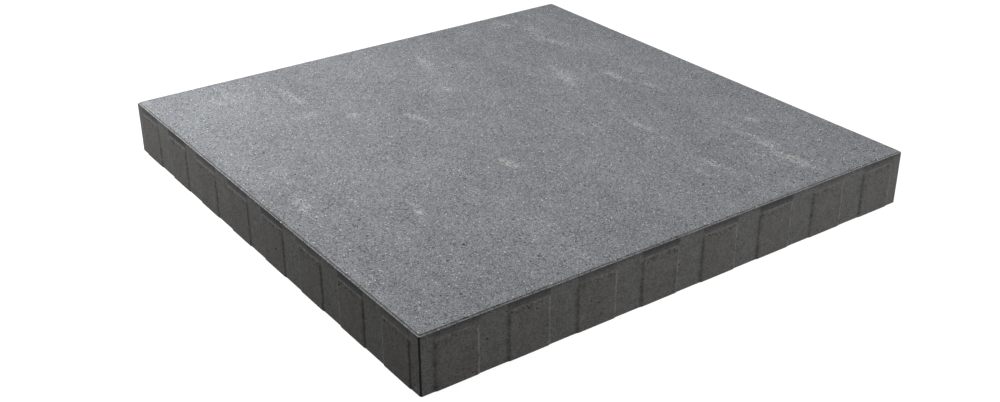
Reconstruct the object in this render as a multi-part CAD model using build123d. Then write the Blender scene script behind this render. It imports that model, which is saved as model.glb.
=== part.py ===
from build123d import *
import os

# Square concrete paving slab with a row of spacer nibs pressed on each side.
#
# It is one solid. The slab lies flat with its bedding face on Z = 0 and its
# walking face up. X and Y run along its sides, and the origin is the middle of
# the bedding face. All sizes are in millimetres.

# Laying module: the distance across the slab from nib crown to nib crown
MODULE = 800.0
THICKNESS = 80.0

# Spacer nibs, in a row along each side wall
NIB_PITCH = 100.0
NIB_STAND_OUT = 1.0
NIB_ROOT_WIDTH = 61.0
NIB_FLANK_RUN = 3.0
NIB_SHOULDER_RADIUS = 4.5
# Plain wall between the ledge and the root of a nib's head
NIB_HEAD_CLEARANCE = 9.8
NIB_HEAD_RUN = 2.2

# Pressed edge of the walking face: a steep step down, then a level ledge out to the wall
STEP_HEIGHT = 1.7
STEP_RUN = 0.6
LEDGE_WIDTH = 2.2

# Upright corners of the slab
CORNER_CHAMFER = 2.0

# Sizes that follow from the ones above
wall_span = MODULE - 2 * NIB_STAND_OUT
step_foot_span = wall_span - 2 * LEDGE_WIDTH
walking_face_span = step_foot_span - 2 * STEP_RUN
ledge_height = THICKNESS - STEP_HEIGHT
nib_root_height = ledge_height - NIB_HEAD_CLEARANCE
nib_crown_height = nib_root_height - NIB_HEAD_RUN
nib_crown_width = NIB_ROOT_WIDTH - 2 * NIB_FLANK_RUN

# As many nibs as fit whole on the flat of a wall
flat_of_wall = wall_span - 2 * CORNER_CHAMFER
nib_count = 1 + int((flat_of_wall - NIB_ROOT_WIDTH) // NIB_PITCH)


def slab_outline(span, height):
    """Square outline with its corners cut off, level at the given height."""
    with BuildSketch(Plane.XY.offset(height)) as outline:
        Rectangle(span, span)
        chamfer(outline.vertices(), CORNER_CHAMFER)
    return outline.sketch


def slab_body():
    """The slab without nibs: upright walls up to the ledge, and the step up to the walking face."""
    walls = extrude(slab_outline(wall_span, 0), amount=ledge_height)
    step_foot = slab_outline(step_foot_span, ledge_height)
    walking_face = slab_outline(walking_face_span, THICKNESS)
    return walls + loft([step_foot, walking_face])


def nib_outline(width, height):
    """Upright rectangle standing on the X axis, with its two upper corners rounded."""
    with BuildSketch() as outline:
        Rectangle(width, height, align=(Align.CENTER, Align.MIN))
        fillet(outline.vertices().group_by(Axis.Y)[-1], NIB_SHOULDER_RADIUS)
    return outline.sketch


def spacer_nib():
    """One nib with sloping flanks and head: its root is on XY and its crown faces +Z."""
    root = nib_outline(NIB_ROOT_WIDTH, nib_root_height)
    crown = nib_outline(nib_crown_width, nib_crown_height)
    return loft([root, Plane.XY.offset(NIB_STAND_OUT) * crown])


def front_nibs():
    """The row of nibs on the front wall, which faces -Y."""
    front_wall = Plane(origin=(0, -wall_span / 2, 0), x_dir=(1, 0, 0), z_dir=(0, -1, 0))
    nib = spacer_nib()
    return [front_wall * place * nib for place in GridLocations(NIB_PITCH, 0, nib_count, 1)]


def paving_slab():
    """The slab with the same row of nibs on each of its four walls."""
    row = front_nibs()
    nibs = [turn * nib for turn in PolarLocations(0, 4) for nib in row]
    return slab_body() + nibs


os.makedirs("parts", exist_ok=True)
export_step(paving_slab(), "parts/paving_slab.step")
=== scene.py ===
import math

import bmesh
import bpy
import numpy as np
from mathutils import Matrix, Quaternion, Vector, noise
from mathutils.geometry import delaunay_2d_cdt


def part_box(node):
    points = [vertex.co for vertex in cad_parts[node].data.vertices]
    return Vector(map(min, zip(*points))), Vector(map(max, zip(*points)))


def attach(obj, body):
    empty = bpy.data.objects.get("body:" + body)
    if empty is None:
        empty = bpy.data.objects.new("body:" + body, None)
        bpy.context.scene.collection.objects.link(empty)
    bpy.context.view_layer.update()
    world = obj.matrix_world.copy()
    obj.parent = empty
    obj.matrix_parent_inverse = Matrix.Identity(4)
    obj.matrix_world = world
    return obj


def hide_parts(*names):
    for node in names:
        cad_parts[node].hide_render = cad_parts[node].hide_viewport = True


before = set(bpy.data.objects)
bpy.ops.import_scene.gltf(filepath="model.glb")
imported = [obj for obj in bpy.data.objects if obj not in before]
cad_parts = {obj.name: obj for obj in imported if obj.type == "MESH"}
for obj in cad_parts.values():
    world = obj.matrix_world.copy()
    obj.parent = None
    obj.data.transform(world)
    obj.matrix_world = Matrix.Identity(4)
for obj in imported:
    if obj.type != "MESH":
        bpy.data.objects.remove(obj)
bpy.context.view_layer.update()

# Concrete paving slab. The slab is one closed mesh, made in millimetres and
# scaled to metres at the end. Its walking face, walls and bedding face are
# patches of one skin: each is triangulated flat and then laid in place.

slab_low, slab_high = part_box("paving_slab")
MM = 0.001

# Sizes of the slab, in millimetres
MODULE = (slab_high.x - slab_low.x) / MM
THICKNESS = (slab_high.z - slab_low.z) / MM
NIB_PITCH = 100.0
NIB_STAND_OUT = 1.0
NIB_ROOT_WIDTH = 61.0
NIB_FLANK_RUN = 3.0
NIB_SHOULDER_RADIUS = 4.5
NIB_HEAD_CLEARANCE = 9.8
NIB_HEAD_RUN = 2.2
STEP_HEIGHT = 1.7
STEP_RUN = 0.6
LEDGE_WIDTH = 2.2
CORNER_CHAMFER = 2.0

wall_half = MODULE / 2 - NIB_STAND_OUT
flat_half = wall_half - CORNER_CHAMFER
ledge_height = THICKNESS - STEP_HEIGHT
step_inset = LEDGE_WIDTH + STEP_RUN
nib_root_height = ledge_height - NIB_HEAD_CLEARANCE
nib_crown_height = nib_root_height - NIB_HEAD_RUN
nib_count = 1 + int((2 * flat_half - NIB_ROOT_WIDTH) // NIB_PITCH)
nib_centres = [(i - (nib_count - 1) / 2) * NIB_PITCH for i in range(nib_count)]

# Half of the cut corner belongs to each of the two walls that meet there
half_cut = CORNER_CHAMFER / math.sqrt(2)
side_half = flat_half + half_cut

# How closely the skin is divided, in millimetres
EDGE_STEP = 1.7
NIB_LINE_STEP = 2.4
WALL_STEP = 3.9
FACE_STEP = 5.6
BED_STEP = 9.0

# Steps of the rings between a face's fine border and its coarser middle
FACE_RING_STEPS = (2.2, 3.0, 4.0)
BED_RING_STEPS = (2.2, 3.4, 5.0)

# Lines of points round a nib, each so far in from its root
NIB_LINE_INSETS = (-0.9, 0.0, 0.5 * NIB_FLANK_RUN, NIB_FLANK_RUN, NIB_FLANK_RUN + 1.0)

# Heights at which the cut corners are divided, between the foot and the ledge
corner_heights = np.linspace(0, ledge_height, 31)[1:-1]

# The least distance of a wall's inner points from its foot and its ledge
WALL_CLEARANCE = 0.6

# Real pits: how many, and their smallest and largest radius
FACE_PITS = (520, 0.7, 2.1)
WALL_BLOWHOLES = (46, 0.6, 1.9)
NIB_HEAD_PITS = (90, 0.5, 1.7)

# How far crumbled concrete sinks, as a share of how far it is set back
CRUMBLE_SINK = 0.7

draws = np.random.default_rng(7)


# Flat shapes

def inside_nib_outline(x, z, width, height):
    """How far points lie inside a nib's outline: upright, with its two upper corners rounded."""
    across = np.abs(x) - (width / 2 - NIB_SHOULDER_RADIUS)
    up = z - (height - NIB_SHOULDER_RADIUS)
    round_part = np.hypot(np.maximum(across, 0), np.maximum(up, 0))
    straight_part = np.minimum(np.maximum(across, up), 0)
    return NIB_SHOULDER_RADIUS - round_part - straight_part


def from_nib_middle(u):
    """How far runs along a side lie from the middle of the nearest nib."""
    centres = np.array(nib_centres)
    nearest = np.argmin(np.abs(u[:, None] - centres), axis=1)
    return u - centres[nearest]


def nib_rise(u, z):
    """How far the nibs lift the wall at points of a side, from 0 on the wall to their stand-out."""
    x = from_nib_middle(u)
    in_root = inside_nib_outline(x, z, NIB_ROOT_WIDTH, nib_root_height)
    crown_width = NIB_ROOT_WIDTH - 2 * NIB_FLANK_RUN
    to_crown = -inside_nib_outline(x, z, crown_width, nib_crown_height)
    climb = np.clip(in_root / np.maximum(in_root + np.maximum(to_crown, 0), 1e-6), 0, 1)
    soft_climb = climb * climb * (3 - 2 * climb)
    return NIB_STAND_OUT * (climb + soft_climb) / 2


def nib_line(centre, inset, step):
    """Points along a nib's outline, brought in from its root by the given inset."""
    half_width = NIB_ROOT_WIDTH / 2 - inset
    top = nib_root_height - inset * NIB_HEAD_RUN / NIB_FLANK_RUN
    bend = NIB_SHOULDER_RADIUS
    up_flank = np.arange(step, top - bend, step)
    along_head = np.arange(-half_width + bend, half_width - bend + 0.01, step)
    turn = np.linspace(0, math.pi / 2, 6)[1:-1]
    left = [(centre - half_width, z) for z in up_flank]
    right = [(centre + half_width, z) for z in up_flank]
    head = [(centre + x, top) for x in along_head]
    shoulders = []
    for side in (-1, 1):
        middle = centre + side * (half_width - bend)
        for angle in turn:
            shoulders.append((middle + side * bend * math.cos(angle), top - bend + bend * math.sin(angle)))
    return left + right + head + shoulders


def hexagon_grid(low, high, step):
    """Points of a triangular grid between two corners, each shifted a little at random."""
    rows = np.arange(low[1], high[1], step * math.sqrt(3) / 2)
    columns = np.arange(low[0], high[0], step)
    x, y = np.meshgrid(columns, rows)
    x = x + (np.arange(len(rows)) % 2 * step / 2)[:, None]
    grid = np.column_stack([x.ravel(), y.ravel()])
    return grid + draws.uniform(-0.22, 0.22, grid.shape) * step


def pit_field(count, smallest, largest, place):
    """Random pits as rows of x, y, radius and depth, with many small ones and few large ones."""
    size = smallest + (largest - smallest) * draws.random(count) ** 2.5
    spots = np.array([place() for _ in range(count)])
    kept = []
    for (x, y), radius in zip(spots, size):
        if all(math.hypot(x - a, y - b) > (radius + r) * 1.25 for a, b, r, _ in kept):
            kept.append((x, y, radius, radius * draws.uniform(0.45, 0.8)))
    return kept


def pit_points(pit):
    """Points of one pit: its middle, a ring half-way down and a ragged rim, with their depths."""
    x, y, radius, depth = pit
    spokes = 7 if radius < 1.2 else 9
    start = draws.uniform(0, math.tau)
    points = [(x, y, depth)]
    for share, sunk in ((0.55, 0.8), (1.0, 0.0)):
        for i in range(spokes):
            angle = start + i * math.tau / spokes
            reach = radius * share * draws.uniform(0.78, 1.15)
            points.append((x + reach * math.cos(angle), y + reach * math.sin(angle), depth * sunk))
    return points


def with_pits(points, pits):
    """Flat points with the pits set among them. Gives x, y and depth for each."""
    clear = np.ones(len(points), bool)
    rings = []
    for pit in pits:
        x, y, radius, _ = pit
        clear &= np.hypot(points[:, 0] - x, points[:, 1] - y) > radius * 1.3 + 0.3
        rings += pit_points(pit)
    flat = np.column_stack([points[clear], np.zeros(clear.sum())])
    return np.vstack([flat, rings]) if rings else flat


def triangulate(border, inner):
    """Triangles over a patch: the border's points in order, then the points inside it."""
    count = len(border)
    loop = [(i, (i + 1) % count) for i in range(count)]
    flat = [Vector(p) for p in np.vstack([border, inner]).tolist()]
    _, _, faces, origin, _, _ = delaunay_2d_cdt(flat, loop, [], 1, 1e-6)
    return [[origin[v][0] for v in face] for face in faces]


# The outline of the slab and how its concrete is worn

def on_side(u, inset):
    """Points x, y of the front side's outline at a run u from its middle, brought in by an inset."""
    flat = np.clip(u, -flat_half, flat_half)
    past = u - flat
    x = flat * (flat_half - inset) / flat_half + past / math.sqrt(2)
    y = -(wall_half - inset) + np.abs(past) / math.sqrt(2)
    return np.column_stack([x, y])


def outward(u):
    """Outward directions of the front side, turning through 45 degrees over the cut corner."""
    past = u - np.clip(u, -flat_half, flat_half)
    turn = past / half_cut * math.pi / 4
    return np.column_stack([np.sin(turn), -np.cos(turn)])


def quarter_turns(side):
    """Rotation about Z that brings the front side to the given one."""
    angle = side * math.pi / 2
    return np.round(np.array([[math.cos(angle), math.sin(angle)], [-math.sin(angle), math.cos(angle)]]))


def rough(points, wavelength, seed):
    """Smooth noise between 0 and 1 at points, with the given wavelength in millimetres."""
    shift = Vector((seed * 17.3, seed * 5.1, seed * 9.7))
    return np.array([noise.noise(Vector(p) / wavelength + shift) for p in points.tolist()]) * 0.5 + 0.5


def ledge_wear(points):
    """How far the ledge's outer edge has crumbled at its points, mostly a little and in places more."""
    fine = rough(points, 2.6, 1)
    clumps = rough(points, 9.0, 2)
    chips = np.clip(rough(points, 17.0, 3) - 0.66, 0, 1) * 4
    return 0.12 + 0.45 * fine * clumps + chips * fine


def wall_wear(points):
    """How far the wall is set back at its points."""
    return 0.10 * rough(points, 5.0, 4) + 0.22 * rough(points, 38.0, 5)


def face_wear(points):
    """How far the walking face is set down at its points."""
    return 0.10 * rough(points, 7.0, 6) + 0.16 * rough(points, 60.0, 7)


def bed_wear(points):
    """How far the bedding face is hollowed at its points."""
    return np.clip(0.9 * rough(points, 11.0, 8) + 1.1 * rough(points, 70.0, 9) - 0.75, 0, None)


# Patches of the skin

class Skin:
    """The slab's mesh while it is gathered from patches that share their borders."""

    def __init__(self):
        self.points = []
        self.faces = []
        self.finish = []
        self.depth = []
        self.count = 0

    def add(self, points, faces, finish, depth=None):
        """Adds a patch with its finish, and the depth of its pits where it has them."""
        self.points.append(points)
        self.faces += [[v + self.count for v in face] for face in faces]
        self.finish += [finish] * len(faces)
        self.depth.append(np.zeros(len(points)) if depth is None else depth)
        self.count += len(points)


def side_stations():
    """Runs along a side at which its skin is divided, from the middle of one cut corner to the next."""
    steps = round(2 * flat_half / EDGE_STEP)
    flat = np.linspace(-flat_half, flat_half, steps + 1)
    corner = [half_cut / 2, half_cut]
    before = [-flat_half - c for c in reversed(corner)]
    after = [flat_half + c for c in corner]
    return np.concatenate([before, flat, after])


def ring(inset):
    """The slab's whole outline as x, y points, brought in by an inset."""
    stations = side_stations()[:-1]
    return np.vstack([on_side(stations, inset) @ quarter_turns(side) for side in range(4)])


def ring_outward():
    """Outward directions at the points of a ring."""
    stations = side_stations()[:-1]
    return np.vstack([outward(stations) @ quarter_turns(side) for side in range(4)])


def edge_ring(inset, height, ledge_share, face_share):
    """A ring of the pressed edge, worn back by its share of the ledge's and of the face's wear."""
    outline = ring(inset)
    base = np.column_stack([outline, np.full(len(outline), height)])
    crumbled = ledge_wear(np.column_stack([ring(0.0), np.full(len(outline), ledge_height)]))
    # Only the outermost ring lies on the wall and follows its unevenness
    set_back = ledge_share * crumbled + (1 - face_share) * wall_wear(base) * (inset == 0)
    sunk = ledge_share * crumbled * CRUMBLE_SINK + face_share * face_wear(base)
    base[:, :2] -= ring_outward() * set_back[:, None]
    base[:, 2] -= sunk
    return base


# Rings of the pressed edge from the wall up to the walking face: inset, height, and their shares of
# the ledge's wear and of the face's
EDGE_RINGS = [
    (0.0, ledge_height, 1.0, 0.0),
    (0.8, ledge_height, 0.55, 0.0),
    (0.6 * LEDGE_WIDTH, ledge_height, 0.2, 0.0),
    (LEDGE_WIDTH - 0.2, ledge_height, 0.12, 0.3),
    (LEDGE_WIDTH + 0.05, ledge_height + 0.25, 0.1, 0.5),
    (step_inset - 0.05, THICKNESS - 0.35, 0.0, 0.8),
    (step_inset + 0.25, THICKNESS, 0.0, 1.0),
    (step_inset + 1.5, THICKNESS, 0.0, 1.0),
]

WALKING_FACE, WALL, BEDDING_FACE = range(3)


def pressed_edge(skin):
    """The ledge and the step round the walking face, as bands between rings."""
    rings = [edge_ring(*settings) for settings in EDGE_RINGS]
    count = len(rings[0])
    faces = []
    for low in range(len(rings) - 1):
        for i in range(count):
            j = (i + 1) % count
            a, b = low * count + i, low * count + j
            c, d = b + count, a + count
            faces += [[a, b, c], [a, c, d]] if (i + low) % 2 else [[a, b, d], [b, c, d]]
    skin.add(np.vstack(rings), faces, WALKING_FACE)


def inner_rings(first_inset, steps):
    """Rings inside a face's border, each coarser than the last. Gives points and the last inset."""
    inset = first_inset
    points = []
    for step in steps:
        inset += step * 0.85
        half = wall_half - inset
        run = np.linspace(-half, half, int(2 * half / step) + 1)[:-1]
        edge = np.column_stack([run, np.full(len(run), -half)])
        points += [edge @ quarter_turns(side) for side in range(4)]
    return np.vstack(points), inset


def face_points(border_inset, steps, step):
    """Points over a face of the slab inside its border ring."""
    rings, inset = inner_rings(border_inset, steps)
    reach = wall_half - inset - step * 0.8
    grid = hexagon_grid((-reach, -reach), (reach, reach), step)
    grid = grid[np.max(np.abs(grid), axis=1) < reach + 0.01]
    return np.vstack([rings, grid])


def walking_face(skin):
    """The top, with its open pores as real pits."""
    border_inset = EDGE_RINGS[-1][0]
    border = ring(border_inset)
    reach = wall_half - border_inset - 6
    pits = pit_field(*FACE_PITS, lambda: draws.uniform(-reach, reach, 2))
    inner = with_pits(face_points(border_inset, FACE_RING_STEPS, FACE_STEP), pits)
    faces = triangulate(border, inner[:, :2])
    outline = edge_ring(*EDGE_RINGS[-1])
    base = np.column_stack([inner[:, :2], np.full(len(inner), THICKNESS)])
    base[:, 2] -= face_wear(base) + inner[:, 2]
    depth = np.concatenate([np.zeros(len(border)), inner[:, 2]])
    skin.add(np.vstack([outline, base]), faces, WALKING_FACE, depth)


def bedding_face(skin):
    """The underside, struck off rough and slightly hollow."""
    border = ring(0.0)
    inner = face_points(0.0, BED_RING_STEPS, BED_STEP)
    faces = [face[::-1] for face in triangulate(border, inner)]
    base = np.column_stack([np.vstack([border, inner]), np.zeros(len(border) + len(inner))])
    base[len(border):, 2] += bed_wear(base[len(border):])
    base[:len(border)] = foot_ring()
    skin.add(base, faces, BEDDING_FACE)


def foot_ring():
    """The lower edge of the walls, where they meet the bedding face."""
    outline = ring(0.0)
    base = np.column_stack([outline, np.zeros(len(outline))])
    stations = np.tile(side_stations()[:-1], 4)
    rise = nib_rise(stations, base[:, 2]) - wall_wear(base)
    base[:, :2] += ring_outward() * rise[:, None]
    return base


def near_nib_line(points, clearance):
    """Which points of a side lie too close to the flank or head of a nib."""
    x = from_nib_middle(points[:, 0])
    inside = inside_nib_outline(x, points[:, 1], NIB_ROOT_WIDTH, nib_root_height)
    return (inside > -clearance) & (inside < NIB_FLANK_RUN + clearance)


def wall_pits():
    """Blowholes scattered over a wall, and the honeycombed heads of its nibs."""
    def anywhere():
        return draws.uniform(-flat_half + 4, flat_half - 4), draws.uniform(4, ledge_height - 5)

    def on_a_head():
        centre = nib_centres[draws.integers(nib_count)]
        clump = draws.normal(0, 0.32) * NIB_ROOT_WIDTH
        across = np.clip(clump, -NIB_ROOT_WIDTH / 2 + 1, NIB_ROOT_WIDTH / 2 - 1)
        return centre + across, nib_crown_height - abs(draws.normal(0, 1)) * 3.2

    return pit_field(*WALL_BLOWHOLES, anywhere) + pit_field(*NIB_HEAD_PITS, on_a_head)


def wall_border():
    """The border of a flat wall, in order: its foot, one end, the ledge's edge and the other end."""
    stations = side_stations()
    foot = [(u, 0.0) for u in stations]
    right_end = [(side_half, z) for z in corner_heights]
    ledge_edge = [(u, ledge_height) for u in stations[::-1]]
    left_end = [(-side_half, z) for z in corner_heights[::-1]]
    return np.array(foot + right_end + ledge_edge + left_end)


def wall_points():
    """Points inside a flat wall: lines along its nibs, ledge and cut corners, and a grid between them."""
    nib_lines = []
    for centre in nib_centres:
        for inset in NIB_LINE_INSETS:
            nib_lines += nib_line(centre, inset, NIB_LINE_STEP)
    under_ledge = [(u, ledge_height - 1.3) for u in side_stations()[3:-3]]
    cut_lines = []
    for end in (-1, 1):
        for u in (flat_half, flat_half - 1.2):
            cut_lines += [(end * u, z) for z in corner_heights]
    grid = hexagon_grid((-flat_half + 3, 2.2), (flat_half - 3, ledge_height - 2.6), WALL_STEP)
    grid = grid[~near_nib_line(grid, 2.3)]
    return np.vstack([nib_lines, under_ledge, cut_lines, grid])


def wall(skin, side):
    """One wall with its row of nibs, from the middle of one cut corner to the middle of the next."""
    border = wall_border()
    inner = with_pits(wall_points(), wall_pits())
    inner = inner[(inner[:, 1] > WALL_CLEARANCE) & (inner[:, 1] < ledge_height - WALL_CLEARANCE)]
    faces = triangulate(border, inner[:, :2])
    run = np.concatenate([border[:, 0], inner[:, 0]])
    height = np.concatenate([border[:, 1], inner[:, 1]])
    depth = np.concatenate([np.zeros(len(border)), inner[:, 2]])
    turn = quarter_turns(side)
    base = np.column_stack([on_side(run, 0.0) @ turn, height])
    crumbled = np.where(height >= ledge_height, ledge_wear(base), 0)
    rise = nib_rise(run, height) - wall_wear(base) - depth - crumbled
    base[:, :2] += outward(run) @ turn * rise[:, None]
    base[:, 2] -= crumbled * CRUMBLE_SINK
    skin.add(base, faces, WALL, depth)


def slab_mesh():
    """The slab's skin as one closed mesh in metres."""
    skin = Skin()
    pressed_edge(skin)
    walking_face(skin)
    bedding_face(skin)
    for side in range(4):
        wall(skin, side)
    points = np.vstack(skin.points) * MM
    mesh = bpy.data.meshes.new("paving_slab_skin")
    mesh.from_pydata(points.tolist(), [], skin.faces)
    mesh.polygons.foreach_set("material_index", skin.finish)
    pore = mesh.attributes.new("pore_depth", "FLOAT", "POINT")
    pore.data.foreach_set("value", np.concatenate(skin.depth).astype(np.float32))
    weld(mesh)
    return mesh


def weld(mesh):
    """Joins the patches where their borders meet."""
    skin = bmesh.new()
    skin.from_mesh(mesh)
    bmesh.ops.remove_doubles(skin, verts=skin.verts, dist=2e-6)
    skin.to_mesh(mesh)
    skin.free()
    mesh.shade_smooth()
    mesh.set_sharp_from_angle(angle=math.radians(38))


# Shader nodes: short calls that fill a node tree

class Nodes:
    """A node tree with one short call for each kind of node that the concrete needs."""

    def __init__(self, tree):
        self.tree = tree

    def feed(self, socket, value):
        """Links a socket into another, or sets its value."""
        if isinstance(value, bpy.types.NodeSocket):
            self.tree.links.new(value, socket)
        else:
            socket.default_value = value

    def add(self, kind, settings=None, **values):
        """A node of a kind. Values are named after its inputs, with _ for a space."""
        node = self.tree.nodes.new("ShaderNode" + kind)
        for name, setting in (settings or {}).items():
            setattr(node, name, setting)
        for name, value in values.items():
            self.feed(node.inputs[name.replace("_", " ")], value)
        return node

    def math(self, operation, *values):
        """The result of a sum on plain values."""
        node = self.add("Math", {"operation": operation})
        for socket, value in zip(node.inputs, values):
            self.feed(socket, value)
        return node.outputs[0]

    def vector_math(self, operation, *values):
        """The result of a sum on vectors, which for a length is a plain value."""
        node = self.add("VectorMath", {"operation": operation})
        for socket, value in zip(node.inputs, values):
            self.feed(socket, value)
        return node.outputs["Value" if operation == "LENGTH" else "Vector"]

    def total(self, *terms):
        """Sum of terms, each a value and its weight."""
        result = 0.0
        for value, weight in terms:
            result = self.math("MULTIPLY_ADD", value, weight, result)
        return result

    def ramp(self, value, start, end, low=0.0, high=1.0):
        """A soft step from low at start to high at end."""
        limits = {"From_Min": start, "From_Max": end, "To_Min": low, "To_Max": high}
        node = self.add("MapRange", {"interpolation_type": "SMOOTHSTEP"}, Value=value, **limits)
        return node.outputs[0]

    def mix(self, amount, colour, other, how="MIX"):
        """Two colours mixed by an amount. A Mix node has its colours in sockets 6 and 7."""
        node = self.add("Mix", {"data_type": "RGBA", "blend_type": how})
        for index, value in ((0, amount), (6, colour), (7, other)):
            value = (*value, 1.0) if isinstance(value, tuple) else value
            self.feed(node.inputs[index], value)
        return node.outputs[2]

    def noise(self, vector, wavelength, detail=2.0, roughness=0.5):
        """Noise about 0.5, its wavelength in the vector's own units."""
        scale = 1 / wavelength
        node = self.add("TexNoise", Vector=vector, Scale=scale, Detail=detail, Roughness=roughness)
        return node.outputs["Fac"]

    def place(self, group, **values):
        """A node group with its inputs set. Gives its outputs by name."""
        node = self.add("Group", {"node_tree": group}, **values)
        return node.outputs


def node_group(name, inputs, outputs, fill):
    """A shader node group. fill is given the nodes and the inputs, and gives the outputs in order."""
    tree = bpy.data.node_groups.new(name, "ShaderNodeTree")
    for label, kind, start in inputs:
        socket = tree.interface.new_socket(label, in_out="INPUT", socket_type="NodeSocket" + kind)
        if start is not None:
            socket.default_value = start
    for label, kind in outputs:
        tree.interface.new_socket(label, in_out="OUTPUT", socket_type="NodeSocket" + kind)
    nodes = Nodes(tree)
    source = tree.nodes.new("NodeGroupInput")
    sink = tree.nodes.new("NodeGroupOutput")
    results = fill(nodes, *source.outputs[:len(inputs)])
    for socket, value in zip(sink.inputs, results):
        nodes.feed(socket, value)
    return tree


# Lime scars on the walking face, placed one by one. Each has its place along X and Y, its half width and
# half length in millimetres, its lean in degrees and its strength.
LIME_SCARS = [
    (-243, -155, 7, 28, -14, 0.89),
    (-67, -109, 11, 24, 6, 0.89),
    (-86, 99, 8, 28, 8, 0.82),
    (-80, 84, 6, 50, -10, 0.49),
    (-358, -62, 8, 43, -8, 0.69),
    (13, 165, 7, 14, -6, 0.75),
    (258, 52, 11, 37, 5, 0.89),
    (272, 4, 7, 36, 20, 0.53),
    (161, -119, 8, 31, 0, 0.75),
    (265, -240, 8, 72, -4, 0.62),
    (264, -272, 13, 26, 0, 0.89),
    (256, -326, 11, 52, 6, 0.82),
    (277, 232, 11, 58, 14, 0.69),
    (282, 300, 19, 53, -16, 0.56),
    (264, 356, 31, 24, 0, 0.62),
    (44, 280, 12, 53, -12, 0.49),
    (-198, 276, 11, 60, 4, 0.62),
    # A broad, faint pale patch near the left corner: partly lime bloom, partly painted light
    (-287, 327, 48, 32, 0, 0.3),
    (192, 104, 11, 64, -14, 0.62),
    (158, -272, 7, 37, 10, 0.69),
    (125, -280, 6, 29, 8, 0.56),
    (-212, 200, 19, 19, 0, 0.56),
    (-160, 162, 12, 19, 0, 0.56),
    (109, -78, 6, 23, 0, 0.62),
    (310, -198, 10, 17, 0, 0.56),
    (306, 50, 8, 14, 0, 0.56),
]


# How far the scars' outlines are bent, and the wavelength of the bends
SCAR_BEND = 26.0
SCAR_BEND_LENGTH = 11.0


# Effects that the finishes share. Their vectors and sizes are in millimetres.

def fill_grain(n, vector, size):
    """Sand grains: a tone about 0 for each grain and between grains, and the height of the grains."""
    finer = n.math("DIVIDE", 1.0, size)
    matrix_scale = n.math("MULTIPLY", finer, 0.8)
    dust_scale = n.math("MULTIPLY", finer, 2.6)
    cells = n.add("TexVoronoi", Vector=vector, Scale=finer)
    grain = n.add("SeparateColor", Color=cells.outputs["Color"]).outputs[0]
    matrix = n.add("TexNoise", Vector=vector, Scale=matrix_scale, Detail=2.0, Roughness=0.6).outputs["Fac"]
    dust = n.add("TexNoise", Vector=vector, Scale=dust_scale, Detail=1.0, Roughness=0.5).outputs["Fac"]
    tone = n.total((grain, 1.5), (matrix, 1.0), (dust, 1.5), (1.0, -2.0))
    height = n.total((cells.outputs["Distance"], -0.8), (grain, 0.5), (matrix, 0.9))
    return tone, height


def fill_specks(n, vector, spacing, size, share):
    """Dots scattered at random, such as open pores or bright grains: 1 in a dot and 0 elsewhere."""
    cells = n.add("TexVoronoi", Vector=vector, Scale=n.math("DIVIDE", 1.0, spacing))
    chance = n.add("SeparateColor", Color=cells.outputs["Color"])
    chosen = n.math("LESS_THAN", chance.outputs[0], share)
    radius = n.math("MULTIPLY", size, n.ramp(chance.outputs[1], 0.0, 1.0, 0.35, 1.0))
    ragged = n.add("TexNoise", Vector=vector, Scale=n.math("DIVIDE", 1.4, size), Detail=1.0)
    reach = n.math("MULTIPLY", cells.outputs["Distance"], spacing)
    reach = n.math("MULTIPLY", reach, n.ramp(ragged.outputs["Fac"], 0.3, 0.7, 0.7, 1.4))
    inside = n.ramp(n.math("DIVIDE", reach, radius), 0.55, 1.0, 1.0, 0.0)
    return (n.math("MULTIPLY", inside, chosen),)


def fill_clouds(n, vector, size, stretch):
    """Uneven pressing and lime bloom: soft patches about 0, and thin pale veins, drawn out along Y."""
    drawn_out = n.add("CombineXYZ", X=1.0, Y=n.math("DIVIDE", 1.0, stretch), Z=1.0).outputs[0]
    flat = n.vector_math("MULTIPLY", vector, drawn_out)
    wide_scale = n.math("DIVIDE", 1.0, size)
    wide = n.add("TexNoise", Vector=flat, Scale=wide_scale, Detail=4.0, Roughness=0.62, Distortion=0.6)
    vein_scale = n.math("DIVIDE", 2.4, size)
    ridge = n.add("TexNoise", Vector=flat, Scale=vein_scale, Detail=3.0, Roughness=0.6, Distortion=1.2)
    patches = n.total((wide.outputs["Fac"], 2.0), (1.0, -1.0))
    veins = n.math("MULTIPLY", n.ramp(ridge.outputs["Fac"], 0.60, 0.78), n.ramp(patches, -0.1, 0.25))
    return patches, veins


def fill_scars(n, vector):
    """Lime scars on the walking face: ragged pale strokes at the listed places."""
    bend = n.add("TexNoise", Vector=vector, Scale=1 / SCAR_BEND_LENGTH, Detail=3.0, Roughness=0.6)
    bent = n.vector_math("MULTIPLY_ADD", bend.outputs["Color"], (SCAR_BEND, SCAR_BEND, 0.0), vector)
    bent = n.vector_math("SUBTRACT", bent, (SCAR_BEND / 2, SCAR_BEND / 2, 0.0))
    strokes = 0.0
    for x, y, half_width, half_length, lean, strength in LIME_SCARS:
        spot = n.add(
            "Mapping", {"vector_type": "TEXTURE"}, Vector=bent, Location=(x, y, THICKNESS),
            Rotation=(0, 0, math.radians(lean)), Scale=(half_width, half_length, half_length),
        )
        reach = n.vector_math("LENGTH", spot.outputs[0])
        strokes = n.math("MAXIMUM", strokes, n.ramp(reach, 0.3, 1.25, strength, 0.0))
    drawn_out = n.vector_math("MULTIPLY", vector, (1.0, 0.5, 1.0))
    broken = n.ramp(n.noise(drawn_out, 4.5, detail=4.0, roughness=0.7), 0.33, 0.60)
    return (n.math("MULTIPLY", strokes, broken),)


def fill_streaks(n, vector):
    """Upright streaks about 0, rubbed into the walls as the mould is drawn off."""
    upright = n.vector_math("MULTIPLY", vector, (1.0, 1.0, 0.035))
    broad = n.noise(upright, 7.0, detail=3.0, roughness=0.65)
    fine = n.noise(upright, 1.6, detail=1.0)
    return (n.total((broad, 1.6), (fine, 0.9), (1.0, -1.25)),)


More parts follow.
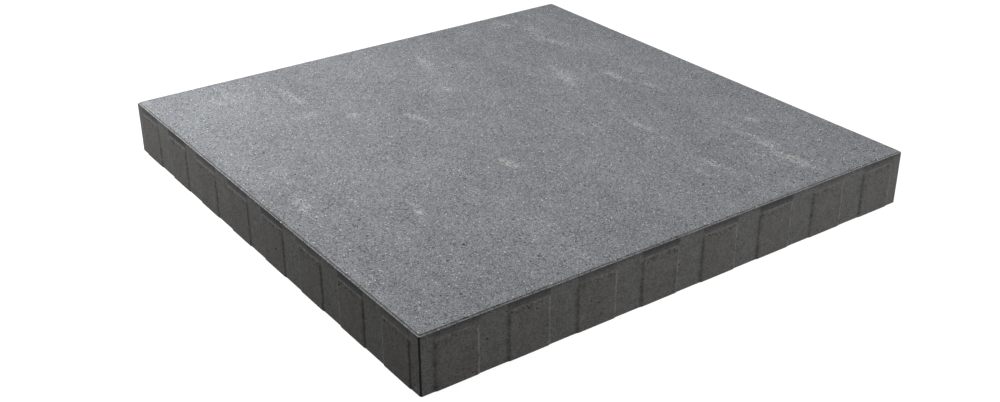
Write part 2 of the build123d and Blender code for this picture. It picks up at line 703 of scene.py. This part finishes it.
def nib_place(n, run):
    """The number of the nib nearest to a run along a wall, and how far the run is from its middle."""
    shift = 0.0 if nib_count % 2 == 0 else 0.5
    pitches = n.math("ADD", n.math("DIVIDE", run, NIB_PITCH), shift)
    from_middle = n.math("ABSOLUTE", n.math("SUBTRACT", n.math("FRACT", pitches), 0.5))
    return n.math("FLOOR", pitches), n.math("MULTIPLY", from_middle, NIB_PITCH)


def fill_wall_layout(n, vector):
    """Where a wall's parts lie: nib crowns and flanks, bands above nib heads, cut corners for their
    painted shade and so on.
    """
    x, y, z = n.add("SeparateXYZ", Vector=vector).outputs
    along_x = n.math("GREATER_THAN", n.math("ABSOLUTE", y), n.math("ABSOLUTE", x))
    run = n.total((x, along_x), (y, n.math("SUBTRACT", 1.0, along_x)))
    number, off_centre = nib_place(n, run)
    ragged = n.total((n.noise(vector, 4.0), 2.4), (1.0, -1.2))
    across = n.math("ADD", off_centre, ragged)
    half_root = NIB_ROOT_WIDTH / 2

    in_nib = n.ramp(across, half_root - NIB_FLANK_RUN, half_root, 1.0, 0.0)
    below_head = n.ramp(n.math("ADD", z, ragged), nib_crown_height, nib_root_height, 1.0, 0.0)
    crown = n.math("MULTIPLY", in_nib, below_head)

    from_flank = n.math("ABSOLUTE", n.math("SUBTRACT", off_centre, half_root - NIB_FLANK_RUN / 2))
    flank = n.math("MULTIPLY", n.ramp(from_flank, 0.9, NIB_FLANK_RUN / 2 + 0.3, 1.0, 0.0), below_head)
    by_flank = n.math("MULTIPLY", n.ramp(from_flank, 1.0, 6.0, 0.55, 0.0), below_head)
    from_head = n.math("ABSOLUTE", n.math("SUBTRACT", z, nib_crown_height - 2.5))
    by_head = n.math("MULTIPLY", n.ramp(from_head, 1.5, 7.0, 0.8, 0.0), crown)
    # Nib Edge gathers dark clots: at the heads honeycombed paste, along the flanks partly painted shade in
    # the creases at their roots
    nib_edge = n.math("MAXIMUM", by_flank, by_head)

    ragged_height = n.math("MULTIPLY_ADD", ragged, 0.6, z)
    band_foot = n.ramp(ragged_height, nib_root_height - 0.4, nib_root_height + 0.6)
    band_rise = n.math("MULTIPLY", band_foot, n.ramp(z, nib_root_height, ledge_height - 1.5, 0.7, 1.0))
    band_width = n.ramp(across, half_root - 2.0, half_root + 1.5, 1.0, 0.0)
    which_wall = n.math("SIGN", n.math("ADD", x, y))
    which_nib = n.add("CombineXYZ", X=number, Y=along_x, Z=which_wall).outputs[0]
    chance = n.add("TexWhiteNoise", {"noise_dimensions": "3D"}, Vector=which_nib).outputs["Value"]
    strength = n.ramp(chance, 0.0, 1.0, 0.35, 1.0)
    band = n.math("MULTIPLY", n.math("MULTIPLY", band_rise, band_width), strength)

    under_ledge = n.ramp(z, ledge_height - 7.0, ledge_height)
    # The cut corners, which turn away from the lamps, get painted shade
    cut_corner_shade = n.ramp(n.math("ABSOLUTE", run), flat_half - 0.3, flat_half + 0.3)
    return crown, band, under_ledge, nib_edge, flank, cut_corner_shade


def fill_edge_place(n, vector):
    """How far in from the wall a point of the walking face lies, in millimetres."""
    x, y, _ = n.add("SeparateXYZ", Vector=vector).outputs
    reach = n.math("MAXIMUM", n.math("ABSOLUTE", x), n.math("ABSOLUTE", y))
    return (n.math("SUBTRACT", wall_half, reach),)


VECTOR = ("Vector", "Vector", None)
GRAIN = node_group(
    "sand grains",
    [VECTOR, ("Size", "Float", 1.5)],
    [("Tone", "Float"), ("Height", "Float")],
    fill_grain,
)
SPECKS = node_group(
    "scattered specks",
    [VECTOR, ("Spacing", "Float", 4.0), ("Size", "Float", 0.8), ("Share", "Float", 0.3)],
    [("Mask", "Float")],
    fill_specks,
)
CLOUDS = node_group(
    "lime bloom",
    [VECTOR, ("Size", "Float", 90.0), ("Stretch", "Float", 2.5)],
    [("Patches", "Float"), ("Veins", "Float")],
    fill_clouds,
)
SCARS = node_group("lime scars", [VECTOR], [("Scars", "Float")], fill_scars)
STREAKS = node_group("mould rub", [VECTOR], [("Streaks", "Float")], fill_streaks)
WALL_LAYOUT = node_group(
    "wall layout",
    [VECTOR],
    [("Crown", "Float"), ("Head Band", "Float"), ("Under Ledge", "Float"), ("Nib Edge", "Float"),
     ("Flank", "Float"), ("Cut Corner Shade", "Float")],
    fill_wall_layout,
)
EDGE_PLACE = node_group("edge place", [VECTOR], [("Inset", "Float")], fill_edge_place)


# Finishes of the slab

# Colours of the concrete, and of the shade painted on it, as linear red, green and blue
FACE_MIX = (0.182, 0.191, 0.203)
LIME = (0.385, 0.385, 0.375)
LEDGE_MIX = (0.208, 0.209, 0.209)
# The step's smooth pressed skin, made darker in part as painted shade
STEP_SKIN_AND_SHADE = (0.118, 0.118, 0.120)
CORE_GREY = (0.143, 0.142, 0.139)
CROWN_BROWN = (0.138, 0.134, 0.128)
# Dark cement paste; along the nib flanks it also stands for painted shade
PASTE = (0.040, 0.040, 0.042)
UNRUBBED = (0.043, 0.043, 0.049)
# Painted shade for the cut corners
CUT_CORNER_SHADE = (0.034, 0.034, 0.036)
FLANK_PASTE = (0.150, 0.145, 0.136)
# Painted shade for pits, pores, blowholes and voids
PORE_SHADE = (0.018, 0.018, 0.018)
QUARTZ = (0.86, 0.86, 0.84)
BED_GREY = (0.205, 0.202, 0.196)


def concrete_material(name, roughness, gloss):
    """A concrete finish still to be coloured. Gives its nodes, its shader and places in millimetres."""
    material = bpy.data.materials.new(name)
    material.use_nodes = True
    n = Nodes(material.node_tree)
    shader = material.node_tree.nodes["Principled BSDF"]
    shader.inputs["Roughness"].default_value = roughness
    shader.inputs["Specular IOR Level"].default_value = gloss
    place = n.vector_math("MULTIPLY", n.add("TexCoord").outputs["Object"], (1 / MM, 1 / MM, 1 / MM))
    return material, n, shader, place


def shaded(n, colour, tone):
    """A colour made lighter or darker by a tone about 0."""
    level = n.math("MAXIMUM", n.math("ADD", tone, 1.0), 0.05)
    grey = n.add("CombineXYZ", X=level, Y=level, Z=level)
    return n.mix(1.0, colour, grey.outputs[0], "MULTIPLY")


def with_painted_pit_shade(n, colour):
    """A colour with painted shade in the mesh's own pits, the deeper the darker."""
    depth = n.add("Attribute", {"attribute_name": "pore_depth"}).outputs["Fac"]
    return n.mix(n.ramp(depth, 0.1, 0.9, 0.0, 0.85), colour, PORE_SHADE)


def relief(n, shader, height, distance):
    """Fine relief in the shading, its height in millimetres."""
    bump = n.add("Bump", Height=height, Distance=distance * MM, Strength=1.0)
    n.feed(shader.inputs["Normal"], bump.outputs["Normal"])


def walking_face_finish():
    """Fine blasted face mix: grey-blue matrix with pale and dark sand grains, pores and lime bloom."""
    material, n, shader, place = concrete_material("walking face", 0.82, 0.35)
    grains = n.place(GRAIN, Vector=place, Size=0.95)
    clots = n.place(GRAIN, Vector=place, Size=2.6)
    clouds = n.place(CLOUDS, Vector=place, Size=95.0, Stretch=2.0)
    puffs = n.place(CLOUDS, Vector=place, Size=24.0, Stretch=1.5)
    scars = n.place(SCARS, Vector=place)["Scars"]
    sparkle = n.place(SPECKS, Vector=place, Spacing=3.8, Size=1.05, Share=0.27)["Mask"]
    pores = n.place(SPECKS, Vector=place, Spacing=3.6, Size=1.55, Share=0.50)["Mask"]
    inset = n.place(EDGE_PLACE, Vector=place)["Inset"]
    tone = n.total(
        (grains["Tone"], 0.80), (clots["Tone"], 0.16),
        (clouds["Patches"], 0.25), (clouds["Veins"], 0.15), (puffs["Patches"], 0.22),
    )
    on_ledge = n.ramp(inset, LEDGE_WIDTH - 0.2, LEDGE_WIDTH + 0.1, 1.0, 0.0)
    above_ledge = n.math("SUBTRACT", 1.0, on_ledge)
    on_step = n.math("MULTIPLY", above_ledge, n.ramp(inset, step_inset, step_inset + 0.3, 1.0, 0.0))
    colour = n.mix(n.math("MULTIPLY", scars, 0.8), FACE_MIX, LIME)
    colour = n.mix(on_ledge, colour, LEDGE_MIX)
    # The step riser: its pressed skin, partly darkened as painted shade
    colour = n.mix(on_step, colour, STEP_SKIN_AND_SHADE)
    colour = shaded(n, colour, tone)
    # Painted shade in the open pores
    colour = n.mix(n.math("MULTIPLY", pores, 0.9), colour, PORE_SHADE)
    colour = n.mix(n.math("MULTIPLY", sparkle, 0.85), colour, QUARTZ)
    # Painted shade in the mesh's own pits
    n.feed(shader.inputs["Base Color"], with_painted_pit_shade(n, colour))
    n.feed(shader.inputs["Roughness"], n.ramp(grains["Tone"], -1.0, 1.0, 0.95, 0.68))
    height = n.total((grains["Height"], 0.5), (clots["Height"], 0.35), (pores, -0.8))
    relief(n, shader, height, 0.30)
    return material


def wall_finish():
    """Pressed wall: neutral between nibs, browner on their crowns, dark where the mould never rubbed."""
    material, n, shader, place = concrete_material("mould pressed wall", 0.9, 0.12)
    layout = n.place(WALL_LAYOUT, Vector=place)
    grains = n.place(GRAIN, Vector=place, Size=1.5)
    blotches = n.noise(place, 18.0, detail=5.0, roughness=0.68)
    streaks = n.place(STREAKS, Vector=place)["Streaks"]
    crumbs = n.place(SPECKS, Vector=place, Spacing=3.4, Size=1.2, Share=0.33)["Mask"]
    holes = n.place(SPECKS, Vector=place, Spacing=8.0, Size=1.4, Share=0.25)["Mask"]
    clotted = n.ramp(n.noise(place, 5.5, detail=4.0, roughness=0.7), 0.48, 0.62)
    colour = n.mix(layout["Crown"], CORE_GREY, CROWN_BROWN)
    colour = n.mix(layout["Flank"], colour, FLANK_PASTE)
    tone = n.total(
        (grains["Tone"], 0.34), (blotches, 0.50), (streaks, 0.08),
        (layout["Under Ledge"], -0.35), (1.0, -0.24),
    )
    colour = shaded(n, colour, tone)
    colour = n.mix(n.math("MULTIPLY", layout["Head Band"], 0.8), colour, UNRUBBED)
    # Dark clots: random paste mottle, gathered along flanks and heads, partly as painted shade in the
    # flank creases
    clots = n.math("MULTIPLY", clotted, n.math("MULTIPLY_ADD", layout["Nib Edge"], 0.60, 0.12))
    colour = n.mix(clots, colour, PASTE)
    # Painted shade: the cut corners are darkened in colour
    colour = n.mix(n.math("MULTIPLY", layout["Cut Corner Shade"], 0.85), colour, CUT_CORNER_SHADE)
    colour = n.mix(n.math("MULTIPLY", crumbs, 0.45), colour, PASTE)
    # Painted shade in the blowholes
    colour = n.mix(n.math("MULTIPLY", holes, 0.7), colour, PORE_SHADE)
    # Painted shade in the mesh's own pits
    n.feed(shader.inputs["Base Color"], with_painted_pit_shade(n, colour))
    n.feed(shader.inputs["Roughness"], n.ramp(streaks, -1.0, 1.0, 0.95, 0.8))
    height = n.total(
        (grains["Height"], 0.35), (streaks, 0.20), (holes, -1.0), (crumbs, -0.5), (clots, -0.8),
    )
    relief(n, shader, height, 0.16)
    return material


def bedding_face_finish():
    """Struck-off underside: open, sandy core mix."""
    material, n, shader, place = concrete_material("bedding face", 0.95, 0.15)
    grains = n.place(GRAIN, Vector=place, Size=2.4)
    stones = n.place(GRAIN, Vector=place, Size=6.5)
    clouds = n.place(CLOUDS, Vector=place, Size=120.0, Stretch=1.4)
    voids = n.place(SPECKS, Vector=place, Spacing=6.0, Size=1.8, Share=0.4)["Mask"]
    tone = n.total((grains["Tone"], 0.20), (stones["Tone"], 0.14), (clouds["Patches"], 0.22))
    colour = shaded(n, BED_GREY, tone)
    # Painted shade in the open voids
    colour = n.mix(n.math("MULTIPLY", voids, 0.75), colour, PORE_SHADE)
    n.feed(shader.inputs["Base Color"], colour)
    height = n.total((grains["Height"], 0.5), (stones["Height"], 0.9), (voids, -1.2))
    relief(n, shader, height, 0.7)
    return material


# Camera: it looks down on the slab's near corner, as in the photograph
CAMERA_AZIMUTH = math.radians(-35.611)
CAMERA_ELEVATION = math.radians(27.280)
CAMERA_ROLL = math.radians(-0.163)
CAMERA_DISTANCE = 1.7316
CAMERA_TARGET = Vector((-0.09857, -0.1301, 0.040))
LENS = 45.888


def make_camera():
    """The scene's camera, set back from its target along its line of sight."""
    back = Vector((
        math.sin(CAMERA_AZIMUTH) * math.cos(CAMERA_ELEVATION),
        -math.cos(CAMERA_AZIMUTH) * math.cos(CAMERA_ELEVATION),
        math.sin(CAMERA_ELEVATION),
    ))
    data = bpy.data.cameras.new("camera")
    data.sensor_width = 36.0
    data.lens = LENS
    camera = bpy.data.objects.new("camera", data)
    camera.location = CAMERA_TARGET + back * CAMERA_DISTANCE
    camera.rotation_mode = "QUATERNION"
    level = (-back).to_track_quat("-Z", "Y")
    camera.rotation_quaternion = level @ Quaternion((0, 0, 1), CAMERA_ROLL)
    bpy.context.collection.objects.link(camera)
    bpy.context.scene.camera = camera


# Studio: softboxes, a dim even surround and a pale floor
FILL = 0.075
FLOOR_PALE = 0.20
FLOOR_WHITENING = 0.92
FLOOR_RADIUS = 6.0

# Each softbox: name, place, aim, size and level, the brightness of its face where 1 is white
SOFTBOXES = [
    ("overhead", (0.6, 0.06, 2.0), (0, 0, 0), 2.4, 1.16),
    ("right end", (3.2, -1.05, 0.55), (0, -0.4, 0.04), 0.5, 86.0),
    ("left end", (-0.76, 0.76, 0.92), (-0.4, 0, 0.04), 0.6, 16.3),
    ("front", (0.27, -1.21, 0.31), (0.1, -0.4, 0.04), 1.0, 1.35),
]


def softbox(name, place, aim, size, level):
    """A square area lamp at a place, turned to its aim and hidden from the camera."""
    data = bpy.data.lights.new(name, "AREA")
    data.shape = "SQUARE"
    data.size = size
    data.energy = level * math.pi * size * size
    lamp = bpy.data.objects.new(name, data)
    lamp.location = place
    lamp.rotation_mode = "QUATERNION"
    lamp.rotation_quaternion = (Vector(aim) - Vector(place)).to_track_quat("-Z", "Y")
    lamp.visible_camera = False
    bpy.context.collection.objects.link(lamp)


def surround():
    """Dim light from all round, that the camera and reflections see as white."""
    world = bpy.data.worlds.new("studio")
    bpy.context.scene.world = world
    world.use_nodes = True
    n = Nodes(world.node_tree)
    rays = n.add("LightPath").outputs
    seen = n.math("MAXIMUM", rays["Is Camera Ray"], rays["Is Glossy Ray"])
    seen = n.math("MAXIMUM", seen, rays["Is Transmission Ray"])
    backdrop = world.node_tree.nodes["Background"]
    backdrop.inputs["Color"].default_value = (1, 1, 1, 1)
    n.feed(backdrop.inputs["Strength"], n.math("MULTIPLY_ADD", seen, 1 - FILL, FILL))


def pale_floor():
    """A round floor under the slab. It shows white to the camera, and keeps the slab's shadow."""
    floor = bpy.data.objects.new("studio_floor", bpy.data.meshes.new("studio_floor"))
    bpy.context.collection.objects.link(floor)
    disc = bmesh.new()
    bmesh.ops.create_circle(disc, cap_ends=True, segments=96, radius=FLOOR_RADIUS)
    bmesh.ops.translate(disc, verts=disc.verts, vec=(0, 0, -0.1 * MM))
    disc.to_mesh(floor.data)
    disc.free()
    material = bpy.data.materials.new("studio floor")
    material.use_nodes = True
    n = Nodes(material.node_tree)
    shader = material.node_tree.nodes["Principled BSDF"]
    shader.inputs["Base Color"].default_value = (FLOOR_PALE, FLOOR_PALE, FLOOR_PALE, 1)
    shader.inputs["Roughness"].default_value = 1.0
    shader.inputs["Specular IOR Level"].default_value = 0.0
    shader.inputs["Emission Color"].default_value = (1, 1, 1, 1)
    seen = n.add("LightPath").outputs["Is Camera Ray"]
    n.feed(shader.inputs["Emission Strength"], n.math("MULTIPLY", seen, FLOOR_WHITENING))
    floor.data.materials.append(material)


slab = bpy.data.objects.new("concrete_slab", slab_mesh())
bpy.context.collection.objects.link(slab)
for finish in (walking_face_finish(), wall_finish(), bedding_face_finish()):
    slab.data.materials.append(finish)
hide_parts("paving_slab")
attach(slab, "root")

make_camera()
surround()
pale_floor()
for settings in SOFTBOXES:
    softbox(*settings)
bpy.context.scene.view_settings.view_transform = "Standard"
